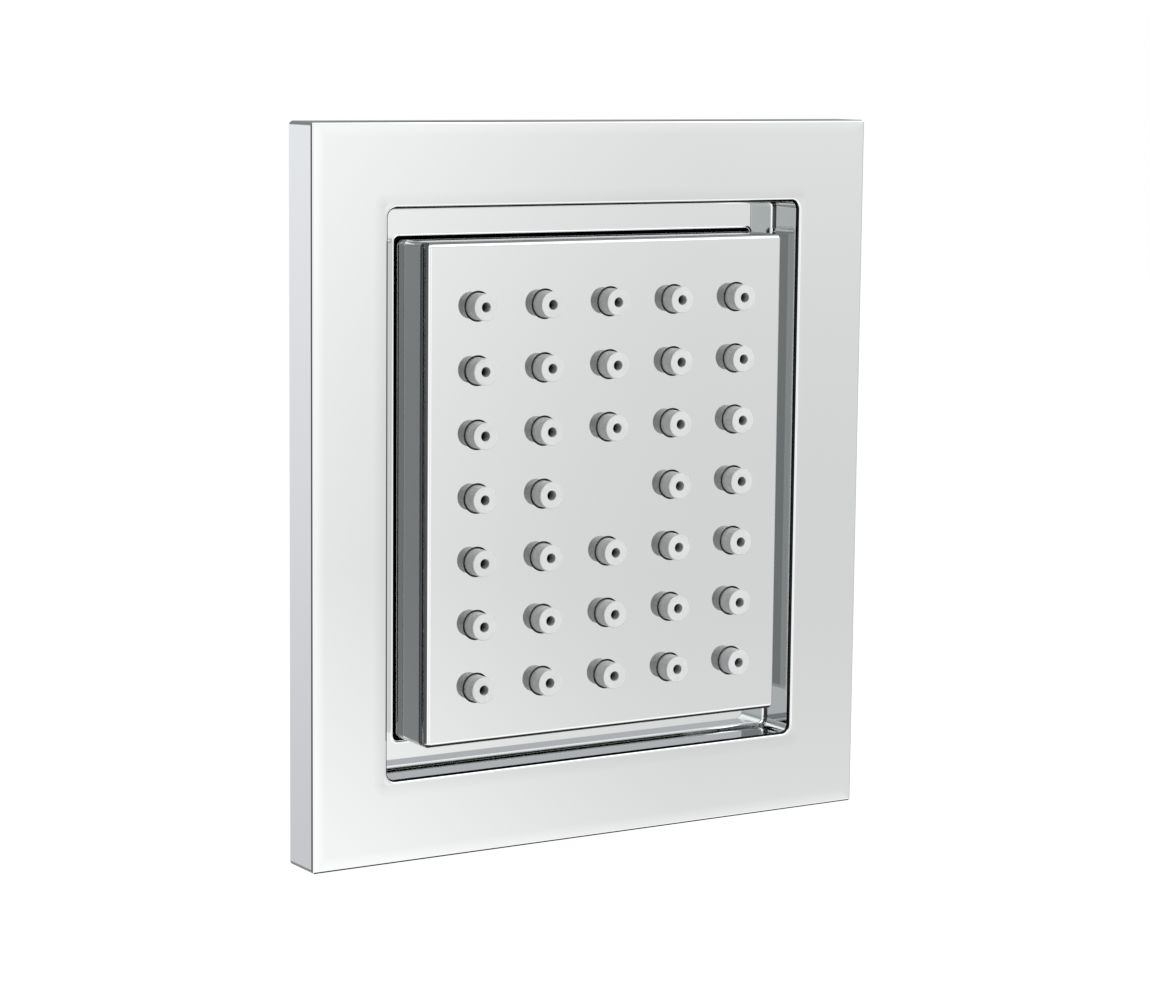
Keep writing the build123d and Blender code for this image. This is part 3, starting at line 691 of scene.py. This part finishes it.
def place_camera(scene):
    """The photograph's camera: a long lens to the left of the jet and a little above it."""
    azimuth, elevation, roll = (math.radians(a) for a in (CAMERA_AZIMUTH, CAMERA_ELEVATION, CAMERA_ROLL))
    back = Vector((math.sin(azimuth) * math.cos(elevation), -math.cos(azimuth) * math.cos(elevation),
                   math.sin(elevation)))
    level = Vector((math.cos(azimuth), math.sin(azimuth), 0.0))
    rise = back.cross(level)
    right = level * math.cos(roll) + rise * math.sin(roll)
    up = rise * math.cos(roll) - level * math.sin(roll)
    lens = bpy.data.cameras.new("camera")
    lens.sensor_fit = "HORIZONTAL"
    lens.sensor_width = SENSOR_WIDTH
    lens.lens = FOCAL_PIXELS * SENSOR_WIDTH / PICTURE_WIDTH
    lens.clip_start = CLIP_START
    camera = bpy.data.objects.new("camera", lens)
    turn = Matrix((right, up, back)).transposed().to_4x4()
    camera.matrix_world = Matrix.Translation(CAMERA_EYE) @ turn
    scene.collection.objects.link(camera)
    scene.camera = camera


class JetFinishes(bpy.types.PropertyGroup):
    """Colours of the jet's finishes"""

    chrome: bpy.props.FloatVectorProperty(
        name="Chrome", description="Tint of the chrome plate", subtype="COLOR", size=4,
        default=(0.549, 0.556, 0.554, 1.0), min=0.0, max=1.0)
    silicone: bpy.props.FloatVectorProperty(
        name="Silicone", description="Colour of the nozzles", subtype="COLOR", size=4,
        default=(0.74, 0.745, 0.745, 1.0), min=0.0, max=1.0)
    rubber: bpy.props.FloatVectorProperty(
        name="Rubber", description="Colour of the gasket and seals", subtype="COLOR", size=4,
        default=(0.025, 0.025, 0.027, 1.0), min=0.0, max=1.0)
    box: bpy.props.FloatVectorProperty(
        name="Box", description="Colour of the box in the wall", subtype="COLOR", size=4,
        default=(0.13, 0.14, 0.15, 1.0), min=0.0, max=1.0)
    cover: bpy.props.FloatVectorProperty(
        name="Cover", description="Colour of the head's back cover and collar", subtype="COLOR", size=4,
        default=(0.30, 0.31, 0.32, 1.0), min=0.0, max=1.0)
    white: bpy.props.FloatVectorProperty(
        name="White plastic", description="Colour of the small inner mouldings", subtype="COLOR", size=4,
        default=(0.80, 0.80, 0.78, 1.0), min=0.0, max=1.0)
    brass: bpy.props.FloatVectorProperty(
        name="Brass", description="Colour of the nipple, nut and ball stem", subtype="COLOR", size=4,
        default=(0.72, 0.55, 0.26, 1.0), min=0.0, max=1.0)
    steel: bpy.props.FloatVectorProperty(
        name="Steel", description="Colour of screws, washer and filter", subtype="COLOR", size=4,
        default=(0.60, 0.60, 0.61, 1.0), min=0.0, max=1.0)


class JetDetail(bpy.types.PropertyGroup):
    """Sizes of the jet's fine detail"""

    roll_width: bpy.props.FloatProperty(
        name="Roll width", description="Width of the polished rolls at the recess rim and the plate's edge",
        unit="LENGTH", default=2.4 * MM, min=0.1 * MM)
    roll_drop: bpy.props.FloatProperty(
        name="Roll drop", description="How far the polished rolls fall", unit="LENGTH",
        default=0.02 * MM, min=0.001 * MM)
    skirt_flare: bpy.props.FloatProperty(
        name="Skirt flare", description="How far the polish of the head's skirt leans outward", unit="LENGTH",
        default=0.33 * MM, min=0.001 * MM)
    nozzle_rim: bpy.props.FloatProperty(
        name="Nozzle rim", description="Radius of the rounded rim at a nozzle's tip", unit="LENGTH",
        default=0.16 * MM, min=0.02 * MM)
    inlet_pitch: bpy.props.FloatProperty(
        name="Inlet pitch", description="Pitch of the inlet thread", unit="LENGTH",
        default=1.814 * MM, min=0.2 * MM)
    inlet_height: bpy.props.FloatProperty(
        name="Inlet thread height", description="Height of the inlet thread", unit="LENGTH",
        default=1.16 * MM, min=0.0)
    lock_pitch: bpy.props.FloatProperty(
        name="Lock pitch", description="Pitch of the lock nut's thread", unit="LENGTH",
        default=1.5 * MM, min=0.2 * MM)
    lock_height: bpy.props.FloatProperty(
        name="Lock thread height", description="Height of the lock nut's thread", unit="LENGTH",
        default=0.92 * MM, min=0.0)


class JetStudio(bpy.types.PropertyGroup):
    """Floor and light of the studio"""

    floor_drop: bpy.props.FloatProperty(
        name="Floor drop", description="How far the floor lies below the jet's middle", unit="LENGTH",
        default=0.32, min=0.08)
    floor_size: bpy.props.FloatProperty(
        name="Floor size", description="Side of the square floor", unit="LENGTH", default=8.0, min=1.0)
    white: bpy.props.FloatProperty(
        name="White screens", description="Level of the white screens in front", default=1.85, min=0.0)
    grey_card: bpy.props.FloatProperty(
        name="Grey card", description="Level of the grey card in front, to the right", default=1.18, min=0.0)
    front_patch: bpy.props.FloatProperty(
        name="Front patch", description="Level straight ahead, where the camera hides the screens",
        default=1.42, min=0.0)
    dark_card: bpy.props.FloatProperty(
        name="Dark card", description="Level of the dark card to the left", default=0.17, min=0.0)
    back_band: bpy.props.FloatProperty(
        name="Back band", description="Level of the low band behind, to the left", default=0.97, min=0.0)
    dim: bpy.props.FloatProperty(
        name="Dim back", description="Level of the room behind the jet", default=0.38, min=0.0)
    matt_share: bpy.props.FloatProperty(
        name="Matt share", description="Share of the screens' level that lights matt surfaces",
        default=0.39, min=0.0)
    gap: bpy.props.FloatProperty(
        name="Gap", description="Level of the bluish gap above the screens", default=1.35, min=0.0)
    soft_box: bpy.props.FloatProperty(
        name="Soft box", description="Level of the soft box high in front", default=3.0, min=0.0)
    lamp: bpy.props.FloatProperty(
        name="Lamp", description="Power of the soft lamp in front", unit="POWER", default=11.5, min=0.0)


class JET_OT_chrome(bpy.types.Operator):
    """Give the face plate and the spray head their mirror chrome"""

    bl_idname = "jet.chrome"
    bl_label = "Chrome plate and head"

    def execute(self, context):
        tint = tuple(context.scene.jet_finishes.chrome)
        detail = context.scene.jet_detail
        dress(plate_finish("plate_chrome_finish", tint, detail.roll_width, detail.roll_drop), "face_plate")
        dress(head_finish("head_chrome_finish", tint, detail.skirt_flare), "spray_face")
        return {"FINISHED"}


class JET_OT_nozzles(bpy.types.Operator):
    """Make the silicone mat with its smooth turned nozzles"""

    bl_idname = "jet.nozzles"
    bl_label = "Silicone nozzles"

    def execute(self, context):
        finish = silicone_finish("silicone_finish", tuple(context.scene.jet_finishes.silicone))
        points, faces, bore = nozzle_surface(context.scene.jet_detail.nozzle_rim)
        make_piece(context, "silicone_nozzles", points, faces, finish,
                   "spray_head", "nozzle_mat", "silicone", bore=bore)
        return {"FINISHED"}


class JET_OT_seals(bpy.types.Operator):
    """Give the gasket, washer and seal rings their rubber"""

    bl_idname = "jet.seals"
    bl_label = "Gasket and seals"

    def execute(self, context):
        finish = rubber_finish("black_rubber_finish", tuple(context.scene.jet_finishes.rubber))
        dress(finish, "plate_gasket", "nipple_washer", "limiter_oring", "stem_oring", "ball_seal",
              "head_seal")
        return {"FINISHED"}


class JET_OT_mouldings(bpy.types.Operator):
    """Give the wall box, back cover, collar and small plastic pieces their moulded finishes"""

    bl_idname = "jet.mouldings"
    bl_label = "Plastic mouldings"

    def execute(self, context):
        colours = context.scene.jet_finishes
        box = moulded_finish(
            "box_plastic_finish", tuple(colours.box), gloss=0.46, grain_depth=0.06 * MM)
        dress(box, "wall_box")
        cover = moulded_finish(
            "cover_plastic_finish", tuple(colours.cover), gloss=0.42, grain_depth=0.04 * MM)
        dress(cover, "head_back", "retaining_collar")
        white = moulded_finish(
            "white_plastic_finish", tuple(colours.white), gloss=0.24, grain_depth=0.01 * MM)
        dress(white, "flow_limiter", "seat_ring", "distributor_plate")
        return {"FINISHED"}


class JET_OT_metalwork(bpy.types.Operator):
    """Cut the nipple's threads and give nipple, nut, stem, screws, washer and filter their turned metal"""

    bl_idname = "jet.metalwork"
    bl_label = "Brass and steel"

    def execute(self, context):
        colours = context.scene.jet_finishes
        brass = turned_finish("brass_finish", tuple(colours.brass), gloss=0.24)
        dress(brass, "lock_nut", "ball_stem")
        points, faces = nipple_surface(context.scene.jet_detail)
        make_piece(context, "threaded_nipple", points, faces, brass, "wall_set", "inlet_nipple", "brass")
        steel = turned_finish("steel_finish", tuple(colours.steel), gloss=0.28)
        dress(steel, "set_screws", "lock_washer", "inlet_filter", "head_screws")
        return {"FINISHED"}


class JET_OT_stage(bpy.types.Operator):
    """Set up the floor, the light all round and the camera"""

    bl_idname = "jet.stage"
    bl_label = "Studio"

    def execute(self, context):
        studio = context.scene.jet_studio
        lay_floor(studio)
        light_studio(context.scene, studio)
        hang_lamp(context.scene, studio)
        place_camera(context.scene)
        context.scene.view_settings.view_transform = "Standard"
        return {"FINISHED"}


class JET_PT_panel(bpy.types.Panel):
    """Sidebar panel with the jet's finishes, sizes, studio and steps"""

    bl_idname = "JET_PT_panel"
    bl_label = "Body jet"
    bl_space_type = "VIEW_3D"
    bl_region_type = "UI"
    bl_category = "Body jet"

    def draw(self, context):
        for group in (context.scene.jet_finishes, context.scene.jet_detail, context.scene.jet_studio):
            for name in group.__annotations__:
                self.layout.prop(group, name)
        for step in STEPS:
            self.layout.operator(step.bl_idname)


STEPS = (JET_OT_chrome, JET_OT_nozzles, JET_OT_seals, JET_OT_mouldings, JET_OT_metalwork, JET_OT_stage)
CLASSES = (JetFinishes, JetDetail, JetStudio, *STEPS, JET_PT_panel)


def register():
    for item in CLASSES:
        bpy.utils.register_class(item)
    bpy.types.Scene.jet_finishes = bpy.props.PointerProperty(type=JetFinishes)
    bpy.types.Scene.jet_detail = bpy.props.PointerProperty(type=JetDetail)
    bpy.types.Scene.jet_studio = bpy.props.PointerProperty(type=JetStudio)


def unregister():
    del bpy.types.Scene.jet_studio
    del bpy.types.Scene.jet_detail
    del bpy.types.Scene.jet_finishes
    for item in reversed(CLASSES):
        bpy.utils.unregister_class(item)


def main():
    """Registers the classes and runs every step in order."""
    register()
    bpy.ops.jet.chrome()
    bpy.ops.jet.nozzles()
    bpy.ops.jet.seals()
    bpy.ops.jet.mouldings()
    bpy.ops.jet.metalwork()
    bpy.ops.jet.stage()


if __name__ == "__main__":
    main()
